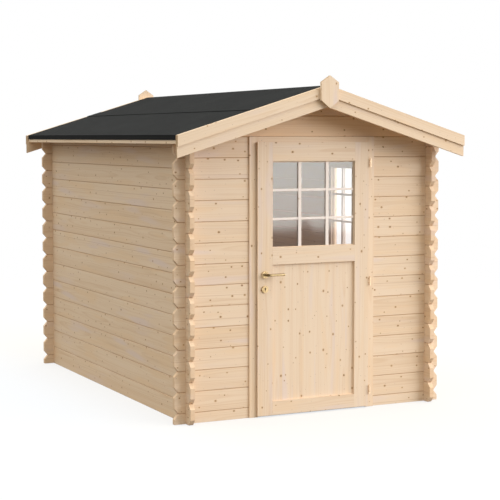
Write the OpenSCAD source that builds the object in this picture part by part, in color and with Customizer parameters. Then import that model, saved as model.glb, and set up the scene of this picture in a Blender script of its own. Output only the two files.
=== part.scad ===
// Garden shed of interlocking logs with a felted gable roof and a half-glazed door.
// The origin is on the ground at the middle of the plan, and the front faces -Y.

/* [Walls] */
// Width over the outer faces of the side walls
wall_w = 1660; // [1500:10:2400]
// Depth over the outer faces of the front and back walls
wall_d = 2460; // [2000:10:3600]
// Thickness of a log
log_t = 28; // [24:1:45]
// Height of one course of logs
course_h = 123; // [115:1:140]
// Number of full courses in each wall
courses = 13; // [12:1:15]
// Length of a log end past the corner
log_tip = 70; // [50:1:100]
// Chamfer of a log end, along the log
tip_run = 27; // [10:1:40]
// Chamfer of a log end, up the log
tip_rise = 31; // [10:1:40]
// Chamfer along the long edges of a log
log_edge = 3; // [1:0.5:5]
// Width of the tongue on top of a log
tongue_w = 10; // [6:1:12]
// Height of the tongue on top of a log
tongue_h = 7; // [4:1:10]
// Clearance between pieces that seat on each other
fit = 0.3; // [0.2:0.05:0.5]

/* [Roof] */
// Pitch of the roof in degrees
roof_pitch = 17; // [14:0.1:22]
// Height of the trimmed top log of a side wall, at its outer face
top_log_h = 84; // [60:1:100]
// Thickness of the roof boards
deck_t = 19; // [15:1:25]
// Reach of the roof boards past a side wall
eave_reach = 115; // [100:1:200]
// Reach of the roof boards past the front and back walls
gable_reach = 166; // [120:1:300]
// Thickness of the roofing felt
felt_t = 3; // [2:0.5:5]
// Length of felt turned down over the eave
felt_lip = 27; // [24:1:34]
// Distance from the ridge to the lower edge of the ridge strip of felt
felt_seam = 490; // [350:10:700]
// Overlap of the ridge strip over the lower strip
felt_lap = 100; // [60:5:150]
// Thickness of the batten under the eave
batten_t = 18; // [12:1:24]
// Height of the batten under the eave, at its outer face
batten_h = 28; // [20:1:40]
// Width of a purlin
purlin_w = 44; // [35:1:60]
// Height of the ridge purlin
ridge_purlin_h = 90; // [70:1:100]
// Height of a side purlin
side_purlin_h = 56; // [45:1:70]
// Distance from the ridge to a side purlin
purlin_x = 490; // [485:1:500]

/* [Gable trim] */
// Width of a barge board
barge_w = 122; // [100:1:140]
// Thickness of a barge board
barge_t = 19; // [15:1:25]
// Rise of a barge board above the roof boards
barge_rise = 4; // [2:1:20]
// Reach of a barge board past the eave
barge_reach = 13; // [8:1:30]
// Width of the cover strip on a barge board
cover_w = 61; // [40:1:80]
// Thickness of the cover strip
cover_t = 11; // [8:1:25]
// Width of the finial plate
finial_w = 116; // [90:1:160]
// Height of the finial plate
finial_h = 190; // [160:1:220]
// Thickness of the finial plate
finial_t = 18; // [12:1:25]
// Rise of the finial plate above the barge boards
finial_rise = 55; // [45:1:80]
// Height of the point on top of the finial plate
finial_point = 39; // [20:1:60]
// Height of the point under the finial plate
finial_tail = 44; // [20:1:60]

/* [Door and window casings] */
// Clear width between the door jambs
door_w = 736; // [650:2:850]
// Height of the door head
head_h = 43; // [30:1:60]
// Thickness of a casing inside its opening
casing_web = 28; // [20:1:40]
// Lap of a casing over the log ends
casing_lap = 28; // [20:1:40]
// Thickness of a casing on each face of the wall
casing_t = 9; // [6:1:20]
// Clear width of the side window
window_w = 544; // [400:2:700]
// Distance from the front face to the middle of the side window
window_setback = 905; // [700:5:1400]
// Number of the first course that the side window cuts
window_course = 7; // [6:1:8]
// Number of courses that the side window cuts
window_courses = 5; // [3:1:5]
// Trim of the log under the window
sill_trim = 1; // [0.5:0.5:3]

/* [Door leaf] */
// Lap of the leaf over the jambs and the head
leaf_lap = 10; // [8:1:20]
// Thickness of the lapping layer
lip_t = 12; // [8:1:20]
// Thickness of the core behind it
core_t = 28; // [22:1:40]
// Gap between the core and the casing
leaf_gap = 8; // [7:0.5:12]
// Gap between the lap and the casing
lip_gap = 5; // [5:0.5:10]
// Gap under the leaf
leaf_foot = 8; // [6:1:20]
// Width of a stile
stile_w = 98; // [80:1:120]
// Height of the top rail
top_rail_h = 112; // [90:1:130]
// Height of the glazed opening
light_h = 512; // [420:2:580]
// Height of the middle rail
mid_rail_h = 98; // [70:1:140]
// Height of the bottom rail
bottom_rail_h = 82; // [70:1:140]
// Depth of the grooves that hold the glass and the panel
groove_d = 8; // [5:1:12]
// Thickness of a pane
glass_t = 4; // [3:1:6]
// Depth of the pane behind the face of the leaf
glass_back = 16; // [10:1:20]
// Thickness of the lower panel
panel_t = 12; // [9:1:14]
// Depth of the lower panel behind the face of the leaf
panel_back = 14; // [8:1:18]

/* [Door fittings] */
// Radius of a hinge barrel
barrel_r = 6; // [5:0.5:8]
// Height of a hinge
hinge_h = 55; // [45:1:80]
// Radius of a hinge pin
pin_r = 3.5; // [2.5:0.5:4]
// Radius of a hinge arm
arm_r = 4; // [3:0.5:5]
// Gap between a barrel and the edge of the leaf
barrel_gap = 1; // [0.8:0.1:2]
// Radial clearance of parts that turn in each other
run_fit = 0.05; // [0.03:0.01:0.1]
// Height of the lowest hinge
hinge_low_z = 111; // [80:1:200]
// Height of the middle hinge
hinge_mid_z = 780; // [600:5:900]
// Distance from the top of the leaf to the highest hinge
hinge_drop = 125; // [80:1:200]
// Distance from the edge of the leaf to the lever
lever_inset = 46; // [40:1:52]
// Height of the lever
lever_z = 848; // [830:1:890]
// Length of the lever from its spindle
lever_l = 112; // [90:1:130]
// Radius of the lever bar
lever_r = 8; // [6:0.5:9]
// Distance of the lever bar from the leaf
lever_stand = 46; // [35:1:60]
// Radius of the bend of the lever
lever_bend = 16; // [12:1:20]
// Radius of a rose
rose_r = 21; // [18:1:26]
// Thickness of a rose
rose_t = 8; // [5:1:10]
// Drop from the lever to the keyhole
keyhole_drop = 86; // [60:1:110]
// Radius of the round end of the keyhole
keyhole_r = 3.5; // [2.5:0.5:5]
// Side of the square spindle
spindle_w = 8; // [6:1:9]
// Radius of the spindle's bore through the stile
spindle_bore_r = 7; // [6.5:0.5:8]

/* [Hidden] */
$fn = 48;

wood = "burlywood";
pale_wood = "wheat";
felt_grey = "dimgray";
brass = "goldenrod";
pane_blue = [0.7, 0.8, 0.85, 0.4];

// Length that is sure to pass beyond the shed
beyond = wall_w + wall_d;

front_y = -wall_d / 2;
wall_top = courses * course_h + top_log_h;
gable_base = (courses + 0.5) * course_h;
slope = tan(roof_pitch);
eave_x = wall_w / 2 + eave_reach;
deck_end = wall_d / 2 + gable_reach;
barge_end = eave_x + barge_reach;
barge_face = deck_end + fit + barge_t;
cover_face = barge_face + fit + cover_t;

door_cut = door_w / 2 + casing_web + fit;
frame_top = gable_base - fit;
head_low = frame_top - head_h;
window_y = front_y + window_setback;
window_low = window_course * course_h;
window_high = (window_course + window_courses) * course_h - fit;

leaf_half = door_w / 2 + leaf_lap;
core_half = door_w / 2 - leaf_gap;
light_half = leaf_half - stile_w;
leaf_top = head_low + leaf_lap;
core_top = head_low - leaf_gap;
lip_back = -casing_t - lip_gap;
lip_front = lip_back - lip_t;
core_back = lip_back + core_t;
light_high = leaf_top - top_rail_h;
light_low = light_high - light_h;
mid_rail_z = light_low - mid_rail_h;
panel_low = leaf_foot + bottom_rail_h;

axis_x = leaf_half + barrel_gap + barrel_r;
axis_y = lip_front - barrel_r;
hinge_heights = [hinge_low_z, hinge_mid_z, leaf_top - hinge_drop];
lever_x = lever_inset - leaf_half;
keyhole_z = lever_z - keyhole_drop;

// Height of the underside of the roof boards
function roof_under(x) = wall_top + (wall_w / 2 - abs(x)) * slope;
// Upright measure of a thickness laid along the slope
function plumb(thickness) = thickness / cos(roof_pitch);
// Height of the top of the roof boards
function deck_top(x) = roof_under(x) + plumb(deck_t);
// Height of the upper edge of the barge boards
function barge_top(x) = deck_top(x) + barge_rise;
// Points of an outline turned over to the other side, in running order
function mirrored(points) = [for (i = [len(points) - 1 : -1 : 0]) [-points[i][0], points[i][1]]];

// An outline in X and Z, drawn out from y0 to y1
module along_y(y0, y1) {
    translate([0, y1, 0])
        rotate([90, 0, 0])
            linear_extrude(y1 - y0)
                children();
}

// A block between two corners
module block(low, high) {
    translate(low)
        cube(high - low);
}

// A round bar that runs along +Y
module rod_y(radius, length) {
    rotate([-90, 0, 0])
        cylinder(r = radius, h = length);
}

// The space under the roof boards
module roof_space() {
    along_y(-beyond, beyond)
        polygon([
            [-beyond, -beyond],
            [beyond, -beyond],
            [beyond, roof_under(beyond) - fit],
            [0, roof_under(0) - fit],
            [-beyond, roof_under(beyond) - fit]
        ]);
}

// Right half of a log seen from the side, with its seats and its chamfered end
function log_outline(span, capped) =
    let (
        end = span / 2 + log_tip,
        seat_in = span / 2 - log_t - fit,
        seat_out = span / 2 + fit,
        seat_low = course_h / 4 + fit / 2,
        seat_high = course_h * 3 / 4 - fit / 2,
        top = course_h + tongue_h
    )
    concat(
        [
            [seat_in, 0], [seat_in, seat_low], [seat_out, seat_low], [seat_out, 0],
            [end - tip_run, 0], [end, tip_rise], [end, course_h - tip_rise],
            [end - tip_run, course_h], [end - tip_run, top]
        ],
        capped ? [] : [[seat_out, top], [seat_out, seat_high], [seat_in, seat_high], [seat_in, top]]
    );

// Cross-section of a log with its tongue, from the height base up
module log_section(base, grooved, height) {
    half = log_t / 2;
    top = height - fit;
    tongue = tongue_w / 2;
    groove = tongue + fit;
    groove_top = base + tongue_h + fit;
    plain_foot = [[-half, base], [half, base]];
    grooved_foot = [
        [-half, base + log_edge], [-half + log_edge, base],
        [-groove, base], [-groove, groove_top], [groove, groove_top], [groove, base],
        [half - log_edge, base], [half, base + log_edge]
    ];
    head = [
        [half, top - log_edge], [half - log_edge, top],
        [tongue, top], [tongue, top + tongue_h], [-tongue, top + tongue_h], [-tongue, top],
        [-half + log_edge, top], [-half, top - log_edge]
    ];
    polygon(concat(grooved ? grooved_foot : plain_foot, head));
}

// A straight length of log profile along X
module log_bar(length, base, grooved, height) {
    rotate([90, 0, 90])
        linear_extrude(length, center = true)
            log_section(base, grooved, height);
}

// A wall log along X, notched for the walls that cross it at either end of span
module wall_log(span, base = 0, grooved = true, capped = false) {
    right = log_outline(span, capped);
    intersection() {
        rotate([90, 0, 0])
            linear_extrude(log_t * 2, center = true)
                polygon(concat(right, mirrored(right)));
        log_bar(span + 4 * log_tip, base, grooved, course_h);
    }
}

// One course of the front or back wall, which starts with half a log
module cross_log(course) {
    translate([0, 0, (course - 0.5) * course_h])
        if (course == 0) wall_log(wall_w, base = course_h / 2, grooved = false);
        else wall_log(wall_w);
}

// One course of a side wall, whose top log is trimmed to the roof
module side_log(course) {
    rotate([0, 0, 90])
        translate([0, 0, course * course_h])
            wall_log(wall_d, grooved = course > 0, capped = course == courses);
}

// The logs of the front or back wall, with the top one under the roof
module cross_logs(y) {
    for (course = [0 : courses - 1])
        translate([0, y, 0]) cross_log(course);
    intersection() {
        translate([0, y, 0]) cross_log(courses);
        roof_space();
    }
}

// The logs of the front wall on one side of the doorway
module front_logs(side) {
    for (course = [0 : courses])
        intersection() {
            translate([0, front_y + log_t / 2, 0]) cross_log(course);
            translate([side * (door_cut + beyond / 2), 0, 0]) cube(beyond, center = true);
            if (course == courses) roof_space();
        }
}

// The logs of the gable over a wall, notched for the purlins
module gable(y) {
    rise = roof_under(0) - gable_base;
    count = max(1, round(rise / course_h));
    for (i = [0 : count - 1])
        difference() {
            intersection() {
                translate([0, y, gable_base + i * course_h])
                    log_bar(wall_w - 2 * log_t - 2 * fit, 0, true, i < count - 1 ? course_h : rise);
                roof_space();
            }
            purlin_notch(0, roof_under(0) - ridge_purlin_h);
            for (side = [-1, 1])
                purlin_notch(side * purlin_x, roof_under(purlin_x) - side_purlin_h);
        }
}

// The cut in a gable for a purlin, open to the roof
module purlin_notch(x, low) {
    half = purlin_w / 2 + fit;
    block([x - half, -beyond, low - fit], [x + half, beyond, roof_under(0) + fit]);
}

// A purlin on the right of the ridge, with its top on the slope
module side_purlin() {
    low = roof_under(purlin_x) - side_purlin_h;
    inner = purlin_x - purlin_w / 2;
    outer = purlin_x + purlin_w / 2;
    along_y(fit - deck_end, deck_end - fit)
        polygon([
            [inner, low], [outer, low],
            [outer, roof_under(outer) - fit], [inner, roof_under(inner) - fit]
        ]);
}

// The roof boards on the right
module deck() {
    along_y(-deck_end, deck_end)
        polygon([
            [fit / 2, roof_under(fit / 2)], [eave_x, roof_under(eave_x)],
            [eave_x, deck_top(eave_x)], [fit / 2, deck_top(fit / 2)]
        ]);
}

// The lower strip of felt on the right, turned down at the eave
module lower_felt() {
    upper_end = felt_seam - felt_lap;
    inner = eave_x + fit;
    outer = inner + felt_t;
    lip_low = deck_top(eave_x) - felt_lip;
    skin = fit + plumb(felt_t);
    along_y(-deck_end, deck_end)
        polygon([
            [upper_end, deck_top(upper_end) + fit], [inner, deck_top(inner) + fit],
            [inner, lip_low], [outer, lip_low],
            [outer, deck_top(outer) + skin], [upper_end, deck_top(upper_end) + skin]
        ]);
}

// The batten under the roof boards on the right
module eave_batten() {
    inner = eave_x - batten_t;
    low = roof_under(eave_x) - batten_h;
    along_y(-deck_end, deck_end)
        polygon([
            [inner, low], [eave_x, low],
            [eave_x, roof_under(eave_x) - fit], [inner, roof_under(inner) - fit]
        ]);
}

// A board up the right of the front gable, hung from the barge line
module gable_board(width, back, thickness) {
    along_y(-back - thickness, -back)
        polygon([
            [fit / 2, barge_top(fit / 2) - plumb(width)], [barge_end, barge_top(barge_end) - plumb(width)],
            [barge_end, barge_top(barge_end)], [fit / 2, barge_top(fit / 2)]
        ]);
}

module barge() {
    color(pale_wood) gable_board(barge_w, deck_end + fit, barge_t);
}

module cover() {
    color(pale_wood) gable_board(cover_w, barge_face + fit, cover_t);
}

// The pointed plate over the meeting of the front barge boards
module finial() {
    top = barge_top(0) + finial_rise;
    low = top - finial_h;
    half = finial_w / 2;
    color(pale_wood)
        along_y(-cover_face - fit - finial_t, -cover_face - fit)
            polygon([
                [0, low], [half, low + finial_tail], [half, top - finial_point],
                [0, top], [-half, top - finial_point], [-half, low + finial_tail]
            ]);
}

// An upright casing on the right of an opening: a web between the log ends and a trim on each face
module casing_side(clear, web_low, web_high, trim_low, trim_high) {
    trim_edge = clear + casing_web + casing_lap;
    back = log_t + casing_t;
    union() {
        block([clear, -casing_t, web_low], [clear + casing_web, back, web_high]);
        block([clear, -casing_t, trim_low], [trim_edge, -fit, trim_high]);
        block([clear, log_t + fit, trim_low], [trim_edge, back, trim_high]);
    }
}

module door_jamb() {
    color(pale_wood)
        translate([0, front_y, 0])
            casing_side(door_w / 2, 0, frame_top, 0, frame_top);
}

// Puts a window piece, drawn as in the front wall, into the right wall
module in_right_wall() {
    translate([wall_w / 2, window_y, 0])
        rotate([0, 0, 90])
            children();
}

// The side window's pane, or with grow the slot that holds it
module window_pane(grow) {
    half = window_w / 2 + groove_d + grow;
    low = window_low + casing_web - groove_d - grow;
    high = window_high - casing_web + groove_d + grow;
    mid = log_t / 2;
    block([-half, mid - glass_t / 2 - grow, low], [half, mid + glass_t / 2 + grow, high]);
}

// A level casing between the window's jambs, with its trim over the log below or above it
module window_rail(clear, web_end, trim_end) {
    half = window_w / 2 - fit;
    back = log_t + casing_t;
    web_low = min(clear, web_end);
    web_high = max(clear, web_end);
    trim_low = min(clear, trim_end);
    trim_high = max(clear, trim_end);
    union() {
        block([-half, -casing_t, web_low], [half, back, web_high]);
        block([-half, -casing_t, trim_low], [half, -fit, trim_high]);
        block([-half, log_t + fit, trim_low], [half, back, trim_high]);
    }
}

// The door's pane, or with grow the slot that holds it
module door_pane(grow) {
    half = light_half + groove_d + grow;
    face = lip_front + glass_back;
    block(
        [-half, face - grow, light_low - groove_d - grow],
        [half, face + glass_t + grow, light_high + groove_d + grow]
    );
}

// The door's lower panel, or with grow the slot that holds it
module panel_board(grow) {
    half = light_half + groove_d + grow;
    face = lip_front + panel_back;
    block(
        [-half, face - grow, panel_low - groove_d - grow],
        [half, face + panel_t + grow, mid_rail_z + groove_d + grow]
    );
}

// A stile on the right of the leaf, rebated to lap the jamb and the head
module stile() {
    difference() {
        translate([0, 0, leaf_foot])
            linear_extrude(leaf_top - leaf_foot)
                polygon([
                    [light_half, lip_front], [leaf_half, lip_front], [leaf_half, lip_back],
                    [core_half, lip_back], [core_half, core_back], [light_half, core_back]
                ]);
        block([0, lip_back, core_top], [leaf_half, core_back + fit, leaf_top + fit]);
        door_pane(fit);
        panel_board(fit);
    }
}

// A rail between the stiles
module rail(low, high) {
    half = light_half - fit;
    difference() {
        block([-half, lip_front, low], [half, core_back, high]);
        door_pane(fit);
        panel_board(fit);
    }
}

// One lever from the face of the leaf outwards, turned towards the hinges
module lever() {
    neck = lever_stand - lever_bend;
    translate([0, -neck, 0])
        rod_y(lever_r, neck - fit);
    translate([lever_bend, -neck, 0])
        rotate([0, 0, 180])
            rotate_extrude(angle = 90)
                translate([lever_bend, 0])
                    circle(lever_r);
    translate([lever_bend, -lever_stand, 0])
        rotate([0, 90, 0])
            cylinder(r = lever_r, h = lever_l - lever_bend - lever_r);
    translate([lever_l - lever_r, -lever_stand, 0])
        sphere(lever_r);
}

// The two fittings of a pair, one on each face of the lock stile
module on_both_faces(height) {
    translate([lever_x, front_y + lip_front, height])
        children();
    translate([lever_x, front_y + core_back, height])
        mirror([0, 1, 0])
            children();
}

module front_wall_left() {
    color(wood) front_logs(-1);
}

module front_wall_right() {
    color(wood) front_logs(1);
}

module front_gable() {
    color(wood) gable(front_y + log_t / 2);
}

module back_wall() {
    color(wood) cross_logs(-front_y - log_t / 2);
}

module back_gable() {
    color(wood) gable(-front_y - log_t / 2);
}

module left_wall() {
    color(wood) {
        x = (log_t - wall_w) / 2;
        for (course = [0 : courses - 1])
            translate([x, 0, 0]) side_log(course);
        intersection() {
            translate([x, 0, 0]) side_log(courses);
            roof_space();
        }
    }
}

module right_wall() {
    x = (wall_w - log_t) / 2;
    cut = window_w / 2 + casing_web + fit;
    last_cut = window_course + window_courses - 1;
    cut_low = window_low - sill_trim;
    cut_high = window_high + tongue_h + 2 * fit;
    color(wood) {
        for (course = [0 : courses - 1])
            difference() {
                translate([x, 0, 0]) side_log(course);
                if (course >= window_course - 1 && course <= last_cut)
                    block([0, window_y - cut, cut_low], [beyond, window_y + cut, cut_high]);
            }
        intersection() {
            translate([x, 0, 0]) side_log(courses);
            roof_space();
        }
    }
}

module ridge_purlin() {
    low = roof_under(0) - ridge_purlin_h;
    half = purlin_w / 2;
    shoulder = roof_under(half) - fit;
    color(wood)
        along_y(fit - deck_end, deck_end - fit)
            polygon([
                [-half, low], [half, low], [half, shoulder],
                [0, roof_under(0) - fit], [-half, shoulder]
            ]);
}

module side_purlins() {
    color(wood) {
        side_purlin();
        mirror([1, 0, 0]) side_purlin();
    }
}

module roof_deck_left() {
    color(wood) mirror([1, 0, 0]) deck();
}

module roof_deck_right() {
    color(wood) deck();
}

module felt_left() {
    color(felt_grey) mirror([1, 0, 0]) lower_felt();
}

module felt_right() {
    color(felt_grey) lower_felt();
}

// The strip of felt over the ridge, stepped up over the lower strips
module felt_ridge() {
    skin = plumb(felt_t);
    lap_start = felt_seam - felt_lap - felt_t;
    lap_foot = lap_start - 4 * felt_t;
    on_deck = fit;
    on_felt = skin + 2 * fit;
    right = [
        [lap_foot, deck_top(lap_foot) + on_deck], [lap_start, deck_top(lap_start) + on_felt],
        [felt_seam, deck_top(felt_seam) + on_felt], [felt_seam, deck_top(felt_seam) + on_felt + skin],
        [lap_start, deck_top(lap_start) + on_felt + skin], [lap_foot, deck_top(lap_foot) + on_deck + skin]
    ];
    ridge = deck_top(0) + on_deck;
    color(felt_grey)
        along_y(-deck_end, deck_end)
            polygon(concat([[0, ridge]], right, [[0, ridge + skin]], mirrored(right)));
}

module eave_batten_left() {
    color(pale_wood) mirror([1, 0, 0]) eave_batten();
}

module eave_batten_right() {
    color(pale_wood) eave_batten();
}

module front_barge_left() {
    mirror([1, 0, 0]) barge();
}

module front_barge_right() {
    barge();
}

module back_barge_left() {
    rotate([0, 0, 180]) barge();
}

module back_barge_right() {
    mirror([0, 1, 0]) barge();
}

module front_cover_left() {
    mirror([1, 0, 0]) cover();
}

module front_cover_right() {
    cover();
}

module back_cover_left() {
    rotate([0, 0, 180]) cover();
}

module back_cover_right() {
    mirror([0, 1, 0]) cover();
}

module front_finial() {
    finial();
}

module back_finial() {
    rotate([0, 0, 180]) finial();
}

module door_jamb_left() {
    mirror([1, 0, 0]) door_jamb();
}

module door_jamb_right() {
    door_jamb();
}

module door_head() {
    half = door_w / 2 - fit;
    color(pale_wood)
        translate([0, front_y, 0])
            block([-half, -casing_t, head_low], [half, log_t + casing_t, frame_top]);
}

module window_jambs() {
    color(pale_wood)
        in_right_wall()
            for (side = [0, 1])
                mirror([side, 0, 0])
                    difference() {
                        casing_side(
                            window_w / 2, window_low, window_high,
                            window_low - casing_lap, window_high + casing_lap
                        );
                        window_pane(fit);
                    }
}

module window_rails() {
    color(pale_wood)
        in_right_wall() {
            difference() {
                window_rail(window_low + casing_web, window_low, window_low - casing_lap);
                window_pane(fit);
            }
            difference() {
                window_rail(window_high - casing_web, window_high, window_high + casing_lap);
                window_pane(fit);
            }
        }
}

module window_glass() {
    color(pane_blue) in_right_wall() window_pane(0);
}

// The lower halves of the hinges, whose arms stand on the jamb and whose pins stand up
module hinge_jamb_halves() {
    half = hinge_h / 2;
    color(brass)
        for (height = hinge_heights)
            translate([axis_x, front_y + axis_y, height]) {
                translate([0, 0, -half]) cylinder(r = barrel_r, h = half);
                translate([0, 0, -half]) cylinder(r = pin_r, h = hinge_h - barrel_r);
                translate([0, 0, -half / 2]) rod_y(arm_r, -axis_y - casing_t - fit);
            }
}

module door_lock_stile() {
    color(pale_wood)
        translate([0, front_y, 0])
            difference() {
                mirror([1, 0, 0]) stile();
                translate([lever_x, lip_front - fit, lever_z])
                    rod_y(spindle_bore_r, core_back - lip_front + 2 * fit);
            }
}

module door_hinge_stile() {
    color(pale_wood) translate([0, front_y, 0]) stile();
}

module door_top_rail() {
    color(pale_wood)
        translate([0, front_y, 0])
            difference() {
                rail(light_high, leaf_top);
                block([-leaf_half, lip_back, core_top], [leaf_half, core_back + fit, leaf_top + fit]);
            }
}

module door_middle_rail() {
    color(pale_wood) translate([0, front_y, 0]) rail(mid_rail_z, light_low);
}

module door_bottom_rail() {
    color(pale_wood) translate([0, front_y, 0]) rail(leaf_foot, panel_low);
}

module door_panel() {
    color(pale_wood) translate([0, front_y, 0]) panel_board(0);
}

module door_glass() {
    color(pane_blue) translate([0, front_y, 0]) door_pane(0);
}

// The upper halves of the hinges, bored for the pins and fixed to the edge of the leaf
module hinge_leaf_halves() {
    half = hinge_h / 2;
    color(brass)
        for (height = hinge_heights)
            translate([axis_x, front_y + axis_y, height])
                difference() {
                    union() {
                        translate([0, 0, fit]) cylinder(r = barrel_r, h = half - fit);
                        block(
                            [fit - barrel_gap - barrel_r, 0, half / 2 - arm_r],
                            [-barrel_r / 2, barrel_r + lip_t / 2, half / 2 + arm_r]
                        );
                    }
                    cylinder(r = pin_r + run_fit, h = half - barrel_r + 2 * fit);
                }
}

// The round plates that the levers turn in
module lever_roses() {
    color(brass)
        on_both_faces(lever_z)
            translate([0, -rose_t, 0])
                difference() {
                    rod_y(rose_r, rose_t - fit);
                    translate([0, -fit, 0]) rod_y(lever_r + run_fit, rose_t + fit);
                }
}

// The round plates over the keyhole
module keyhole_roses() {
    color(brass)
        on_both_faces(keyhole_z)
            translate([0, -rose_t, 0])
                difference() {
                    rod_y(rose_r, rose_t - fit);
                    translate([0, -fit, 0]) rod_y(keyhole_r, rose_t + fit);
                    block([-keyhole_r / 2, -fit, -keyhole_r * 3], [keyhole_r / 2, rose_t, 0]);
                }
}

// The outer lever with the spindle through the stile
module lever_outside() {
    half = spindle_w / 2;
    color(brass)
        translate([lever_x, front_y + lip_front, lever_z]) {
            lever();
            block([-half, -2 * fit, -half], [half, core_back - lip_front, half]);
        }
}

module lever_inside() {
    color(brass)
        translate([lever_x, front_y + core_back, lever_z])
            mirror([0, 1, 0])
                lever();
}

front_wall_left();
front_wall_right();
front_gable();
back_wall();
back_gable();
left_wall();
right_wall();
ridge_purlin();
side_purlins();
roof_deck_left();
roof_deck_right();
felt_left();
felt_right();
felt_ridge();
eave_batten_left();
eave_batten_right();
front_barge_left();
front_barge_right();
back_barge_left();
back_barge_right();
front_cover_left();
front_cover_right();
back_cover_left();
back_cover_right();
front_finial();
back_finial();
door_jamb_left();
door_jamb_right();
door_head();
window_jambs();
window_rails();
window_glass();
hinge_jamb_halves();
door_lock_stile();
door_hinge_stile();
door_top_rail();
door_middle_rail();
door_bottom_rail();
door_panel();
door_glass();
hinge_leaf_halves();
lever_roses();
keyhole_roses();
lever_outside();
lever_inside();
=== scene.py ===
"""Looks of a log-built garden shed: spruce logs, felt roof, half-glazed door and brass furniture."""

import logging
import math
from collections.abc import Mapping, Sequence
from dataclasses import dataclass
from enum import Enum
from typing import Any

import bmesh
import bpy
from mathutils import Matrix, Vector


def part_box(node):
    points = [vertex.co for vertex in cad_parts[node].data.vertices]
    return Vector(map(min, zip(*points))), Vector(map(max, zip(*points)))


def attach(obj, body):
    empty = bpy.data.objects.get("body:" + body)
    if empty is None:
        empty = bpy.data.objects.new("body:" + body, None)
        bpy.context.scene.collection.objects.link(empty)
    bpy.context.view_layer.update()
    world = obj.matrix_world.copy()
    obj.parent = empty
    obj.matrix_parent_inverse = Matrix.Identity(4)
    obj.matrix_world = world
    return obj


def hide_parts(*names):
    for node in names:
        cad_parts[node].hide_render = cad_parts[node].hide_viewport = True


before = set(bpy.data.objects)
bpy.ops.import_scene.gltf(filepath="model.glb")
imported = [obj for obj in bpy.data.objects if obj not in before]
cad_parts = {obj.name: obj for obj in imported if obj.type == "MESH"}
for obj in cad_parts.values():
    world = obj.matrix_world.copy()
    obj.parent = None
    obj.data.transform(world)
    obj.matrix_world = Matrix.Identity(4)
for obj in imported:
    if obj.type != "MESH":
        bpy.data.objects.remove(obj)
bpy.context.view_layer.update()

log = logging.getLogger("shed")

Pair = tuple[float, float]
Triple = tuple[float, float, float]
Colour = tuple[float, float, float]

PITCH = math.radians(17.0)
SIDES = (("left", -1.0), ("right", 1.0))

# The columns are the directions across, up and outwards.
FRONT_AXES = Matrix(((1, 0, 0, 0), (0, 0, -1, 0), (0, 1, 0, 0), (0, 0, 0, 1)))
SIDE_AXES = Matrix(((0, 0, 1, 0), (1, 0, 0, 0), (0, 1, 0, 0), (0, 0, 0, 1)))


class Grain(Enum):
    """Which axes run along the fibres, across the face and into the depth of a piece."""

    LEVEL_FRONT = (0, 2, 1)
    LEVEL_SIDE = (1, 2, 0)
    UPRIGHT_FRONT = (2, 0, 1)
    UPRIGHT_SIDE = (2, 1, 0)
    FLAT = (0, 1, 2)


class Body(Enum):
    """The bodies that pieces are added to."""

    SHED = "shed"
    DOOR = "door"


class Socket:
    """One output of a shader node, with the arithmetic that adds Math nodes."""

    def __init__(self, tree: "ShaderTree", output: "bpy.types.NodeSocket | None") -> None:
        """Keeps the output and the tree that it belongs to."""
        self.tree = tree
        self.output = output

    def _math(self, operation: str, *values: "Socket | float") -> "Socket":
        """Adds one Math node on the given values."""
        return self.tree.node("ShaderNodeMath", {"operation": operation}, dict(enumerate(values)))

    def __add__(self, other: "Socket | float") -> "Socket":
        """self + other"""
        return self._math("ADD", self, other)

    __radd__ = __add__

    def __sub__(self, other: "Socket | float") -> "Socket":
        """self - other"""
        return self._math("SUBTRACT", self, other)

    def __rsub__(self, other: float) -> "Socket":
        """other - self"""
        return self._math("SUBTRACT", other, self)

    def __mul__(self, other: "Socket | float") -> "Socket":
        """self * other"""
        return self._math("MULTIPLY", self, other)

    def __truediv__(self, other: "Socket | float") -> "Socket":
        """self / other"""
        return self._math("DIVIDE", self, other)

    def __pow__(self, other: float) -> "Socket":
        """self ** other"""
        return self._math("POWER", self, other)

    def __lt__(self, other: "Socket | float") -> "Socket":
        """1 where self is less than other, else 0"""
        return self._math("LESS_THAN", self, other)

    def __abs__(self) -> "Socket":
        """The size of the value without its sign."""
        return self._math("ABSOLUTE", self)

    def floor(self) -> "Socket":
        """The whole number below the value."""
        return self._math("FLOOR", self)

    def fraction(self) -> "Socket":
        """What is left above the whole number."""
        return self._math("FRACT", self)

    def root(self) -> "Socket":
        """The square root."""
        return self._math("SQRT", self)

    def largest(self, other: "Socket | float") -> "Socket":
        """The larger of two values."""
        return self._math("MAXIMUM", self, other)

    def smooth(self, low: "Socket | float", high: "Socket | float") -> "Socket":
        """A soft step from 0 at low to 1 at high, or down where high is below low.

        Args:
            low: The value that gives 0.
            high: The value that gives 1.

        Returns:
            The step, between 0 and 1.
        """
        return self.tree.node(
            "ShaderNodeMapRange",
            {"interpolation_type": "SMOOTHSTEP"},
            {"Value": self, "From Min": low, "From Max": high},
        )

    def beside(self, name: str) -> "Socket":
        """Another output of the same node."""
        return Socket(self.tree, self.output.node.outputs[name])


Sockets = tuple[Socket, Socket, Socket]


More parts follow.
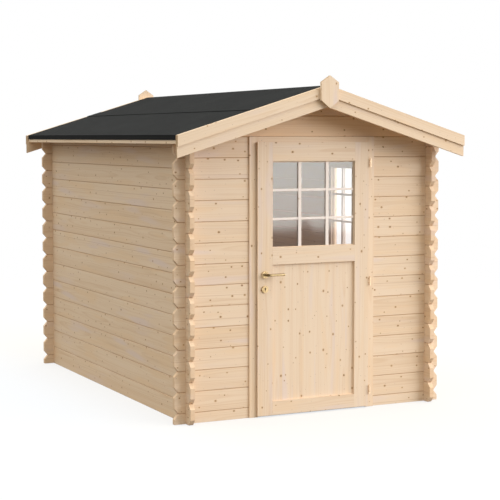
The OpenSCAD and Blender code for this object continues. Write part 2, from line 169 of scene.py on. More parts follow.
class ShaderTree:
    """A node tree that is filled by one method."""

    def __init__(self, tree: bpy.types.NodeTree) -> None:
        """Empties the tree."""
        self.tree = tree
        tree.nodes.clear()

    def node(
        self,
        kind: str,
        settings: Mapping[str, Any] | None = None,
        sockets: Mapping[str | int, Any] | None = None,
        output: str | int = 0,
    ) -> Socket:
        """Adds a node.

        Args:
            kind: The node's type.
            settings: Its own settings, such as an operation, or the stops of a ramp.
            sockets: Values or links of its inputs, by name or number.
            output: The output that is handed back.

        Returns:
            The chosen output.
        """
        made = self.tree.nodes.new(kind)
        for key, value in (settings or {}).items():
            if key == "stops":
                self._set_stops(made.color_ramp, value)
            else:
                setattr(made, key, value)
        for key, value in (sockets or {}).items():
            if isinstance(value, Socket):
                self.tree.links.new(value.output, made.inputs[key])
            else:
                made.inputs[key].default_value = value
        return Socket(self, made.outputs[output] if len(made.outputs) else None)

    @staticmethod
    def _set_stops(ramp: bpy.types.ColorRamp, stops: Sequence[Pair]) -> None:
        """Sets a ramp's grey stops.

        Args:
            ramp: The ramp.
            stops: The place and the level of each.
        """
        while len(ramp.elements) < len(stops):
            ramp.elements.new(1.0)
        for element, (place, level) in zip(ramp.elements, stops):
            element.position = place
            element.color = (level, level, level, 1.0)

    def coordinate(self, kind: str = "Object") -> Socket:
        """The place on the piece, or another of its coordinates."""
        return self.node("ShaderNodeTexCoord", {}, {}, kind)

    def vector(self, x: Any, y: Any, z: Any = 0.0) -> Socket:
        """Three values as a vector."""
        return self.node("ShaderNodeCombineXYZ", {}, {0: x, 1: y, 2: z})

    def vector_math(self, operation: str, *vectors: Any, output: str = "Vector") -> Socket:
        """Adds one Vector Math node on the given vectors."""
        inputs = dict(enumerate(vectors))
        return self.node("ShaderNodeVectorMath", {"operation": operation}, inputs, output)

    def split(self, vector: Socket) -> Sockets:
        """The three parts of a vector or colour."""
        first = self.node("ShaderNodeSeparateXYZ", {}, {0: vector}, "X")
        return first, first.beside("Y"), first.beside("Z")

    def noise(
        self, vector: Socket, scale: float = 1.0, detail: float = 2.0, rough: float = 0.5
    ) -> Socket:
        """A cloud of noise between 0 and 1.

        Args:
            vector: The place that it is read at.
            scale: Waves in a unit of length.
            detail: How many finer layers are added.
            rough: How strong they are.

        Returns:
            The noise.
        """
        return self.node(
            "ShaderNodeTexNoise",
            {"noise_dimensions": "3D"},
            {"Vector": vector, "Scale": scale, "Detail": detail, "Roughness": rough},
        )

    def mix(self, share: Any, first: Any, second: Any, blend: str = "MIX") -> Socket:
        """Mixes two colours.

        Args:
            share: The second colour's share.
            first: The colour at 0.
            second: The colour at 1.
            blend: The way that they blend.

        Returns:
            The mixed colour.
        """
        first, second = (c if isinstance(c, Socket) else (*c, 1.0) for c in (first, second))
        return self.node(
            "ShaderNodeMix",
            {"data_type": "RGBA", "blend_type": blend},
            {0: share, 6: first, 7: second},
            2,
        )

    def bump(self, height: Socket, strength: float, distance: float) -> Socket:
        """A normal that follows a height."""
        return self.node(
            "ShaderNodeBump", {}, {"Height": height, "Strength": strength, "Distance": distance}
        )

    def seen(self) -> Socket:
        """1 for rays that show a surface directly, in glass or in metal."""
        ray = self.node("ShaderNodeLightPath", {}, {}, "Is Camera Ray")
        return ray.largest(ray.beside("Is Glossy Ray")).largest(ray.beside("Is Transmission Ray"))

    def principled(self, sockets: Mapping[str, Any]) -> None:
        """Closes the tree with the shader of a plain surface."""
        self.end(self.node("ShaderNodeBsdfPrincipled", {}, sockets))

    def end(self, surface: Socket, kind: str = "ShaderNodeOutputMaterial") -> None:
        """Closes the tree with a surface shader."""
        self.node(kind, {}, {"Surface": surface})


def new_material(name: str) -> tuple[bpy.types.Material, ShaderTree]:
    """Adds a material.

    Args:
        name: Its name.

    Returns:
        The material and its empty tree.
    """
    material = bpy.data.materials.new(name)
    material.use_nodes = True
    return material, ShaderTree(material.node_tree)


@dataclass(frozen=True)
class Timber:
    """The colours of one sort of planed spruce."""

    early: Colour
    late: Colour
    honey: Colour
    lilac: Colour
    end: Colour = (0.98, 0.925, 0.86)
    halo: Colour = (0.64, 0.37, 0.15)
    knot: Colour = (0.22, 0.115, 0.055)
    # The joint colour is painted shade in the joints between boards, and also the colour of checks.
    joint: Colour = (0.44, 0.225, 0.085)


WALL_TIMBER = Timber((0.86, 0.68, 0.505), (0.71, 0.49, 0.30), (0.84, 0.62, 0.41), (0.80, 0.645, 0.56))
# The gables' timber is the walls' timber made warmer and darker: painted warm shade under the roof's
# overhang.
GABLE_SHADE_TIMBER = Timber((0.91, 0.67, 0.45), (0.75, 0.48, 0.265), (0.88, 0.61, 0.365), (0.84, 0.635, 0.50))
TRIM_TIMBER = Timber(
    (0.88, 0.695, 0.51), (0.745, 0.52, 0.325), (0.86, 0.635, 0.42), (0.81, 0.65, 0.565),
    end=(0.60, 0.52, 0.42),
)
DOOR_TIMBER = Timber(
    (0.86, 0.685, 0.515), (0.745, 0.53, 0.345), (0.85, 0.635, 0.43), (0.80, 0.65, 0.57),
    end=(0.80, 0.72, 0.62),
)
BAR_TIMBER = Timber((0.95, 0.86, 0.79), (0.88, 0.75, 0.65), (0.95, 0.83, 0.75), (0.90, 0.82, 0.78))


@dataclass(frozen=True)
class Boards:
    """How a surface is made up of boards: their width, and where one of them starts."""

    pitch: float
    start: float


@dataclass(frozen=True)
class WoodFinish:
    """Planed spruce with growth rings, fibres, knots and a tint of its own for each board.

    A span holds the values where a soft step starts and ends, and a depth says how strongly a mark
    shows. Waves are counted in a metre along the fibres, across the face and into the depth. Rough
    holds the plain roughness, what fibres add and what knots take away, and relief holds the heights
    of fibres, rings and knots.
    """

    name: str
    grain: Grain
    timber: Timber
    seed: int
    centre: Triple
    tilt: float = 0.0
    boards: Boards | None = None
    # The joint is the width of painted shade along both edges of each board.
    joint: float = 0.0
    figure: float = 1.0
    knots: float = 0.56
    knot_cell: Pair = (0.105, 0.0615)
    knot_size: Pair = (0.0015, 0.0036)
    knot_stretch: float = 0.8
    knot_faintest: float = 0.5
    knot_depth: float = 0.92
    core_span: Pair = (1.15, 0.7)
    halo_span: Pair = (2.2, 0.9)
    halo_depth: float = 0.55
    rim_waves: float = 160.0
    rim_reach: float = 0.002
    pin_shift: float = 0.5
    pin_cell: Pair = (0.062, 0.034)
    pin_size: Pair = (0.0008, 0.0013)
    pin_share: float = 0.55
    pin_depth: float = 0.75
    seed_row: float = 0.37
    seed_shift: float = 3.7
    board_shift: float = 9.1
    board_even: float = 0.25
    board_depth: float = 0.26
    fibre_waves: Triple = (2.2, 170.0, 170.0)
    fibre_depth: float = 0.42
    band_waves: Triple = (0.55, 26.0, 26.0)
    band_depth: float = 0.80
    ring_pitch: float = 0.0065
    ring_stops: tuple[Pair, ...] = ((0.0, 0.0), (0.5, 0.15), (0.88, 1.0), (1.0, 0.0))
    ring_bend: float = 0.004
    ring_depth: float = 0.32
    wobble_waves: Triple = (0.9, 7.0, 7.0)
    wobble_reach: float = 0.035
    heart_aside: float = 0.10
    heart_deep: Pair = (0.03, 0.05)
    shade_span: Pair = (-0.15, 1.05)
    patch_waves: Triple = (1.9, 15.0, 4.0)
    honey_span: Pair = (0.43, 0.30)
    honey_depth: float = 0.6
    lilac_span: Pair = (0.56, 0.74)
    lilac_depth: Pair = (0.3, 0.6)
    end_span: Pair = (0.55, 0.85)
    # How strongly painted shade darkens the joints.
    joint_shade_depth: float = 0.62
    check_share: float = 0.22
    check_reach: float = 0.6
    check_span: Pair = (0.0026, 0.0008)
    check_depth: float = 0.28
    rough: Triple = (0.58, 0.18, 0.12)
    relief: Triple = (0.5, 0.35, 0.5)
    bump: Pair = (0.35, 0.0006)
    gloss: float = 0.16

    def material(self) -> bpy.types.Material:
        """Builds the material.

        Returns:
            The finished wood.
        """
        material, tree = new_material(self.name)
        along, across, depth = self._axes(tree)
        chance, local = self._board(tree, across)
        run = along + chance[0] * self.board_shift + self.seed * self.seed_shift
        place = (run, local, depth)
        end = self._end_grain(tree)
        core, halo = self._knots(tree, run, across, self.knot_cell, self.knots, self.knot_size)
        pin, _ = self._knots(
            tree, run + self.pin_shift, across, self.pin_cell, self.knots * self.pin_share, self.pin_size
        )
        core = core.largest(pin * self.pin_depth) * (1 - end)
        halo = halo * (1 - end)
        ring = self._rings(tree, place, chance, halo)
        fibre = self._stretched(tree, place, self.fibre_waves, detail=3.0, rough=0.6)
        colour = self._clear(tree, place, chance, ring, fibre)
        colour = tree.mix(halo * self.halo_depth, colour, self.timber.halo)
        colour = tree.mix(core * self.knot_depth, colour, self.timber.knot)
        colour = tree.mix(end, colour, self.timber.end, "MULTIPLY")
        # Painted shade in the joints between boards, and checks in some boards.
        if self.boards and self.joint > 0.0:
            colour = self._add_joint_shade(tree, colour, local, chance)
        plain, added, taken = self.rough
        fibres, rings, knots = self.relief
        tree.principled(
            {
                "Base Color": colour,
                "Roughness": plain + fibre * added - core * taken,
                "Normal": tree.bump(fibre * fibres + ring * rings - core * knots, *self.bump),
                "Specular IOR Level": self.gloss,
            }
        )
        return material

    def _clear(
        self, tree: ShaderTree, place: Sockets, chance: Sockets, ring: Socket, fibre: Socket
    ) -> Socket:
        """The colour of wood without knots.

        Args:
            tree: The tree that it is added to.
            place: The place along, across and into the board.
            chance: The board's random numbers.
            ring: The growth rings.
            fibre: The fibres.

        Returns:
            The colour.
        """
        band = self._stretched(tree, place, self.band_waves)
        patch = self._stretched(tree, place, self.patch_waves, detail=1.0)
        streak = (fibre - 0.5) * self.fibre_depth + (band - 0.5) * self.band_depth
        tint = (chance[1] - self.board_even) * self.board_depth
        shade = ring * self.ring_depth + streak * self.figure + tint
        colour = tree.mix(shade.smooth(*self.shade_span), self.timber.early, self.timber.late)
        colour = tree.mix(patch.smooth(*self.honey_span) * self.honey_depth, colour, self.timber.honey)
        least, more = self.lilac_depth
        lilac = patch.smooth(*self.lilac_span) * (chance[2] * more + least)
        return tree.mix(lilac, colour, self.timber.lilac)

    def _add_joint_shade(self, tree: ShaderTree, colour: Socket, local: Socket, chance: Sockets) -> Socket:
        """Adds painted shade in the joints between the boards, and a long check in some of the boards.

        Args:
            tree: The tree that they are added to.
            colour: The boards' colour.
            local: The place across the board.
            chance: The board's random numbers.

        Returns:
            The colour with its joints.
        """
        half = self.boards.pitch / 2
        # Painted shade along both edges of each board, where the groove between boards lies.
        joint = abs(local).smooth(half - self.joint, half) * self.joint_shade_depth
        aside = (chance[0] - 0.5) * self.boards.pitch * self.check_reach
        check = abs(local - aside).smooth(*self.check_span)
        check = check * (chance[1] < self.check_share) * self.check_depth
        return tree.mix(joint.largest(check), colour, self.timber.joint)

    def _turned(self, tree: ShaderTree, coordinate: str, sort: str) -> Sockets:
        """The three parts of a coordinate, turned by the piece's tilt."""
        sockets = {"Vector": tree.coordinate(coordinate), "Rotation": (0, self.tilt, 0)}
        return tree.split(tree.node("ShaderNodeMapping", {"vector_type": sort}, sockets))

    def _axes(self, tree: ShaderTree) -> Sockets:
        """Finds the place on the piece, in depth from its centre, and across too without boards.

        Args:
            tree: The tree that it is added to.

        Returns:
            The place along the fibres, across the face and into the depth.
        """
        parts = self._turned(tree, "Object", "POINT")
        centre = Matrix.Rotation(self.tilt, 3, "Y") @ Vector(self.centre)
        along, across, depth = self.grain.value
        if self.boards:
            return parts[along], parts[across], parts[depth] - centre[depth]
        return parts[along], parts[across] - centre[across], parts[depth] - centre[depth]

    def _board(self, tree: ShaderTree, across: Socket) -> tuple[Sockets, Socket]:
        """Finds the board at a place.

        Args:
            tree: The tree that it is added to.
            across: The place across the face.

        Returns:
            Three random numbers of the board, and the place across it from its middle.
        """
        number: Socket | float = 0.5
        local = across
        if self.boards:
            number = ((across - self.boards.start) / self.boards.pitch).floor() + 0.5
            local = across - number * self.boards.pitch - self.boards.start
        chance = tree.node(
            "ShaderNodeTexWhiteNoise",
            {"noise_dimensions": "2D"},
            {"Vector": tree.vector(number, self.seed + self.seed_row)},
            "Color",
        )
        return tree.split(chance), local

    def _knots(
        self, tree: ShaderTree, run: Socket, across: Socket, cell: Pair, share: float, size: Pair
    ) -> tuple[Socket, Socket]:
        """Masks of the knots' dark cores and of the warm wood round them.

        Args:
            tree: The tree that they are added to.
            run: The place along the fibres.
            across: The place across the face.
            cell: Length and width of the space that one knot has.
            share: The share of these spaces that hold a knot.
            size: The smallest radius, and what is added to it at most.

        Returns:
            The cores and the halos.
        """
        length, width = cell
        place = tree.vector(run / length, across / width)
        spot = tree.node(
            "ShaderNodeTexVoronoi",
            {"voronoi_dimensions": "2D", "feature": "F1"},
            {"Vector": place, "Scale": 1.0, "Randomness": 1.0},
            "Position",
        )
        chance = tree.split(spot.beside("Color"))
        away = tree.vector_math("SUBTRACT", place, spot)
        away = tree.vector_math("MULTIPLY", away, (length * self.knot_stretch, width, 0.0))
        distance = tree.vector_math("LENGTH", away, output="Value")
        rim = tree.noise(tree.vector(run * self.rim_waves, across * self.rim_waves), detail=1.0)
        distance = distance + (rim - 0.5) * self.rim_reach
        here = chance[0] < share
        radius = size[0] + chance[1] * size[1]
        strength = chance[2] * (1.0 - self.knot_faintest) + self.knot_faintest
        core = distance.smooth(*(radius * reach for reach in self.core_span)) * here * strength
        halo = distance.smooth(*(radius * reach for reach in self.halo_span)) * here
        return core, halo

    def _end_grain(self, tree: ShaderTree) -> Socket:
        """Where the fibres are cut across."""
        return abs(self._turned(tree, "Normal", "NORMAL")[self.grain.value[0]]).smooth(*self.end_span)

    def _rings(self, tree: ShaderTree, place: Sockets, chance: Sockets, halo: Socket) -> Socket:
        """Growth rings round the heart of the tree, which bend round knots.

        Args:
            tree: The tree that they are added to.
            place: The place along, across and into the board.
            chance: The board's random numbers.
            halo: The warm wood round knots.

        Returns:
            The rings, with 1 in the late wood.
        """
        _, local, depth = place
        wobble = self._stretched(tree, place, self.wobble_waves)
        aside = local - (chance[1] - 0.5) * self.heart_aside
        least, more = self.heart_deep
        deep = depth - least - chance[2] * more
        radius = (aside * aside + deep * deep).root()
        phase = (radius + (wobble - 0.5) * self.wobble_reach + halo * self.ring_bend) / self.ring_pitch
        return tree.node("ShaderNodeValToRGB", {"stops": self.ring_stops}, {"Fac": phase.fraction()})

    @staticmethod
    def _stretched(
        tree: ShaderTree, place: Sockets, waves: Triple, detail: float = 2.0, rough: float = 0.5
    ) -> Socket:
        """Noise that is drawn out along the fibres."""
        parts = (part * count for part, count in zip(place, waves))
        return tree.noise(tree.vector(*parts), detail=detail, rough=rough)


@dataclass(frozen=True)
class FeltFinish:
    """Roofing felt faced with fine dark mineral.

    The shares are those of the grains, the patches and the fine noise in the felt's grey.
    """

    name: str = "mineral_felt"
    dark: Colour = (0.0070, 0.0076, 0.0076)
    light: Colour = (0.027, 0.029, 0.0285)
    edge: Colour = (0.30, 0.29, 0.28)
    grain_scale: float = 480.0
    patch_scale: float = 5.0
    fine_scale: float = 60.0
    shares: Triple = (0.45, 0.5, 0.35)
    level: float = 0.18
    level_span: Pair = (-0.1, 1.1)
    edge_span: Pair = (0.8, 0.5)
    rough: Pair = (0.82, 0.14)
    fine_relief: float = 0.4
    bump: Pair = (0.5, 0.0008)
    gloss: float = 0.12

    def material(self) -> bpy.types.Material:
        """Builds the material.

        Returns:
            The finished felt.
        """
        material, tree = new_material(self.name)
        place = tree.coordinate()
        grit = tree.node(
            "ShaderNodeTexVoronoi",
            {"voronoi_dimensions": "3D", "feature": "F1"},
            {"Vector": place, "Scale": self.grain_scale, "Randomness": 1.0},
            "Distance",
        )
        grey = tree.split(grit.beside("Color"))[0]
        patch = tree.noise(place, self.patch_scale, detail=3.0)
        fine = tree.noise(place, self.fine_scale)
        grains, patches, noise = self.shares
        level = grey * grains + (patch - 0.5) * patches + (fine - 0.5) * noise + self.level
        colour = tree.mix(level.smooth(*self.level_span), self.dark, self.light)
        lying = abs(tree.split(tree.coordinate("Normal"))[2])
        colour = tree.mix(lying.smooth(*self.edge_span), colour, self.edge, "MULTIPLY")
        plain, added = self.rough
        tree.principled(
            {
                "Base Color": colour,
                "Roughness": plain + grey * added,
                "Normal": tree.bump(fine * self.fine_relief - grit, *self.bump),
                "Specular IOR Level": self.gloss,
            }
        )
        return material


@dataclass(frozen=True)
class GlassFinish:
    """Clear float glass with faint smears, which mirrors more where it is seen at a slant."""

    name: str = "clear_glass"
    tint: Colour = (0.93, 0.96, 0.95)
    smear_tint: Colour = (0.88, 0.92, 0.92)
    smear_scale: float = 7.0
    mirror: float = 0.048
    smear_mirror: float = 0.006
    slant_mirror: float = 0.45
    slant_power: float = 4.0
    rough: Pair = (0.03, 0.03)

    def material(self) -> bpy.types.Material:
        """Builds the material.

        Returns:
            The finished glass.
        """
        material, tree = new_material(self.name)
        smear = tree.noise(tree.coordinate(), self.smear_scale)
        slant = tree.node("ShaderNodeLayerWeight", {}, {"Blend": 0.5}, "Facing") ** self.slant_power
        plain, added = self.rough
        tree.principled(
            {
                "Base Color": tree.mix(smear, self.tint, self.smear_tint),
                "Metallic": 1.0,
                "Roughness": plain + smear * added,
                "Alpha": self.mirror + (smear - 0.5) * self.smear_mirror + slant * self.slant_mirror,
            }
        )
        return material


@dataclass(frozen=True)
class BrassFinish:
    """Polished brass with fine rubbing marks.

    The spot is painted shade where shade falls in a hollow. It lies around an axis from front to back,
    and holds the axis's x, its height and the spot's reach.
    """

    name: str = "polished_brass"
    bright: Colour = (0.64, 0.49, 0.28)
    dull: Colour = (0.40, 0.28, 0.13)
    rough: float = 0.20
    deep: Colour = (0.06, 0.035, 0.012)
    spot: Triple | None = None
    spot_core: float = 0.4
    spot_depth: float = 0.85
    tarnish_scale: float = 45.0
    tarnish_span: Pair = (0.35, 0.75)
    tarnish_rough: float = 0.14
    rub_scale: float = 420.0
    rub_rough: float = 0.06
    bump: Pair = (0.08, 0.0002)

    def material(self) -> bpy.types.Material:
        """Builds the material.

        Returns:
            The finished brass.
        """
        material, tree = new_material(self.name)
        place = tree.coordinate()
        tarnish = tree.noise(place, self.tarnish_scale, detail=3.0)
        rubbed = tree.noise(place, self.rub_scale)
        colour = tree.mix(tarnish.smooth(*self.tarnish_span), self.bright, self.dull)
        if self.spot:
            # Painted shade: the brass is darkened round the given axis, where shade falls in a hollow.
            colour = tree.mix(self._painted_shade(tree, place) * self.spot_depth, colour, self.deep)
        tree.principled(
            {
                "Base Color": colour,
                "Metallic": 1.0,
                "Roughness": self.rough + tarnish * self.tarnish_rough + rubbed * self.rub_rough,
                "Normal": tree.bump(rubbed, *self.bump),
            }
        )
        return material

    def _painted_shade(self, tree: ShaderTree, place: Socket) -> Socket:
        """Finds the spot of painted shade.

        Args:
            tree: The tree that it is added to.
            place: The place on the piece.

        Returns:
            1 in the spot's core, and 0 outside its reach.
        """
        spot_x, spot_z, reach = self.spot
        across, _, height = tree.split(place)
        out = (abs(across - spot_x) ** 2.0 + abs(height - spot_z) ** 2.0) ** 0.5
        return out.smooth(reach, reach * self.spot_core)


FELT = FeltFinish().material()
GLASS = GlassFinish().material()
BRASS = BrassFinish().material()
HINGE_BRASS = BrassFinish("matt_hinge_brass", (0.84, 0.65, 0.45), (0.66, 0.49, 0.32), 0.42).material()


def paint(node: str, material: bpy.types.Material) -> None:
    """Gives a CAD node's faces a material.

    Args:
        node: The node's name.
        material: The finish.
    """
    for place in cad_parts[node].material_slots:
        place.material = material
    log.info("%s: %s", node, material.name)


def middle(node: str) -> Triple:
    """The middle of a CAD node's box."""
    low, high = (Vector(corner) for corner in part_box(node))
    return tuple((low + high) / 2)


def link_mesh(name: str, mesh: bmesh.types.BMesh, material: bpy.types.Material) -> bpy.types.Object:
    """Makes an object of a mesh and links it to the scene.

    Args:
        name: The object's name.
        mesh: The mesh, in the part's frame. It is used up.
        material: The finish.

    Returns:
        The new object.
    """
    data = bpy.data.meshes.new(name)
    mesh.to_mesh(data)
    mesh.free()
    data.materials.append(material)
    made = bpy.data.objects.new(name, data)
    bpy.context.scene.collection.objects.link(made)
    return made


def add_piece(
    name: str, mesh: bmesh.types.BMesh, material: bpy.types.Material, body: Body
) -> bpy.types.Object:
    """Makes a piece of the shed of a mesh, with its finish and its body.

    Args:
        name: The piece's name.
        mesh: The mesh, in the part's frame. It is used up.
        material: The finish.
        body: The body that the piece moves with.

    Returns:
        The new object.
    """
    bmesh.ops.recalc_face_normals(mesh, faces=mesh.faces[:])
    piece = link_mesh(name, mesh, material)
    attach(piece, body.value)
    log.info("%s: %s, rides on %s", name, material.name, body.value)
    return piece


def add_block(mesh: bmesh.types.BMesh, low: Vector, high: Vector) -> list[bmesh.types.BMVert]:
    """Adds a block between two corners.

    Args:
        mesh: The mesh that it joins.
        low: The lowest corner.
        high: The highest corner.

    Returns:
        Its corners.
    """
    place = Matrix.Translation((low + high) / 2) @ Matrix.Diagonal((*(high - low), 1.0))
    return bmesh.ops.create_cube(mesh, size=1.0, matrix=place)["verts"]


def round_edges(
    mesh: bmesh.types.BMesh, edges: list[bmesh.types.BMEdge], width: float, steps: int = 2
) -> None:
    """Rounds some edges of a mesh.

    Args:
        mesh: The mesh.
        edges: The edges.
        width: How far the rounding reaches from an edge.
        steps: The number of faces across it, which is 1 for a chamfer.
    """
    bmesh.ops.bevel(
        mesh, geom=edges, offset=width, offset_type="OFFSET", segments=steps,
        profile=0.5, affect="EDGES", clamp_overlap=True, material=-1,
    )


@dataclass
class LogWalls:
    """The walls and gables of interlocking logs."""

    course: float = 0.123
    # The joint is the width of painted shade along each log joint.
    joint: float = 0.0042
    front_figure: float = 1.0
    side_figure: float = 1.4
    seed: int = 1

    def dress(self) -> None:
        """Gives each wall its logs' wood."""
        half = Boards(self.course, self.course / 2)
        whole = Boards(self.course, 0.0)
        walls = {
            "front_wall_left": (Grain.LEVEL_FRONT, half, WALL_TIMBER),
            "front_wall_right": (Grain.LEVEL_FRONT, half, WALL_TIMBER),
            # Both gables take the timber with painted warm shade.
            "front_gable": (Grain.LEVEL_FRONT, half, GABLE_SHADE_TIMBER),
            "back_wall": (Grain.LEVEL_FRONT, half, WALL_TIMBER),
            "back_gable": (Grain.LEVEL_FRONT, half, GABLE_SHADE_TIMBER),
            "left_wall": (Grain.LEVEL_SIDE, whole, WALL_TIMBER),
            "right_wall": (Grain.LEVEL_SIDE, whole, WALL_TIMBER),
        }
        for seed, (node, (grain, boards, timber)) in enumerate(walls.items(), self.seed):
            finish = WoodFinish(
                f"spruce_{node}", grain, timber, seed, middle(node), boards=boards, joint=self.joint,
                figure=self.side_figure if grain is Grain.LEVEL_SIDE else self.front_figure,
            )
            paint(node, finish.material())


@dataclass
class Roof:
    """Purlins, roof boards, felt and eave battens."""

    eave_x: float = 0.945
    ridge_x: float = 0.00015
    ridge_under: float = 1.936755
    slope: float = 0.305731
    plumb_t: float = 0.019868
    end_y: float = 1.396
    board_count: int = 29
    board_gap: float = 0.0004
    board_edge: float = 0.0028
    # The joint is the width of painted shade along each board joint.
    joint: float = 0.003
    seed: int = 20
    board_seed: int = 30

    @property
    def board_w(self) -> float:
        """The width of a roof board with its gap."""
        return 2 * self.end_y / self.board_count

    def dress(self) -> None:
        """Gives the roof's solids their finishes."""
        for node in ("felt_left", "felt_right", "felt_ridge"):
            paint(node, FELT)
        wood = ("ridge_purlin", "side_purlins", "eave_batten_left", "eave_batten_right")
        for seed, node in enumerate(wood, self.seed):
            finish = WoodFinish(f"spruce_{node}", Grain.LEVEL_SIDE, TRIM_TIMBER, seed, middle(node))
            paint(node, finish.material())

    def build(self) -> None:
        """Builds the boards of both slopes."""
        for seed, (name, side) in enumerate(SIDES, self.board_seed):
            node = f"roof_deck_{name}"
            mesh = bmesh.new()
            for number in range(self.board_count):
                self._board(mesh, number, side)
            finish = WoodFinish(
                f"spruce_roof_boards_{name}", Grain.FLAT, WALL_TIMBER, seed, middle(node),
                tilt=-side * PITCH, boards=Boards(self.board_w, -self.end_y), joint=self.joint,
            )
            piece = add_piece(f"roof_boards_{name}", mesh, finish.material(), Body.SHED)
            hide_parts(node)

    def _board(self, mesh: bmesh.types.BMesh, number: int, side: float) -> None:
        """Adds one board from ridge to eave, with its lower edges taken off.

        Args:
            mesh: The mesh that it joins.
            number: The board's number from the front.
            side: -1 for the left slope, 1 for the right one.
        """
        start = -self.end_y + number * self.board_w
        low = Vector((self.ridge_x, start + self.board_gap, 0.0))
        high = Vector((self.eave_x, start + self.board_w - self.board_gap, self.plumb_t))
        corners = add_block(mesh, low, high)
        edges = {
            edge
            for corner in corners
            for edge in corner.link_edges
            if all(v.co.z < self.plumb_t / 2 for v in edge.verts)
            and abs(edge.verts[0].co.x - edge.verts[1].co.x) > self.board_edge
        }
        before = set(mesh.verts) - set(corners)
        round_edges(mesh, list(edges), self.board_edge, steps=1)
        fresh = [v for v in mesh.verts if v not in before]
        lean = Matrix.Identity(4)
        lean[2][0] = -self.slope
        raised = Matrix.Translation((0, 0, self.ridge_under)) @ lean
        place = Matrix.Diagonal((side, 1.0, 1.0, 1.0)) @ raised
        bmesh.ops.transform(mesh, matrix=place, verts=fresh)


@dataclass
class GableTrim:
    """Barge boards, cover strips and finial plates."""

    board_knots: float = 0.55
    finial_knots: float = 0.05
    seed: int = 40

    def dress(self) -> None:
        """Gives each board of the gables its wood, with the grain along it."""
        boards: list[tuple[str, Grain, float, float]] = []
        for end in ("front", "back"):
            for name, side in SIDES:
                for board in ("barge", "cover"):
                    node = f"{end}_{board}_{name}"
                    boards.append((node, Grain.LEVEL_FRONT, -side * PITCH, self.board_knots))
            boards.append((f"{end}_finial", Grain.UPRIGHT_FRONT, 0.0, self.finial_knots))
        for seed, (node, grain, tilt, knots) in enumerate(boards, self.seed):
            finish = WoodFinish(
                f"spruce_{node}", grain, TRIM_TIMBER, seed, middle(node), tilt=tilt, knots=knots
            )
            paint(node, finish.material())


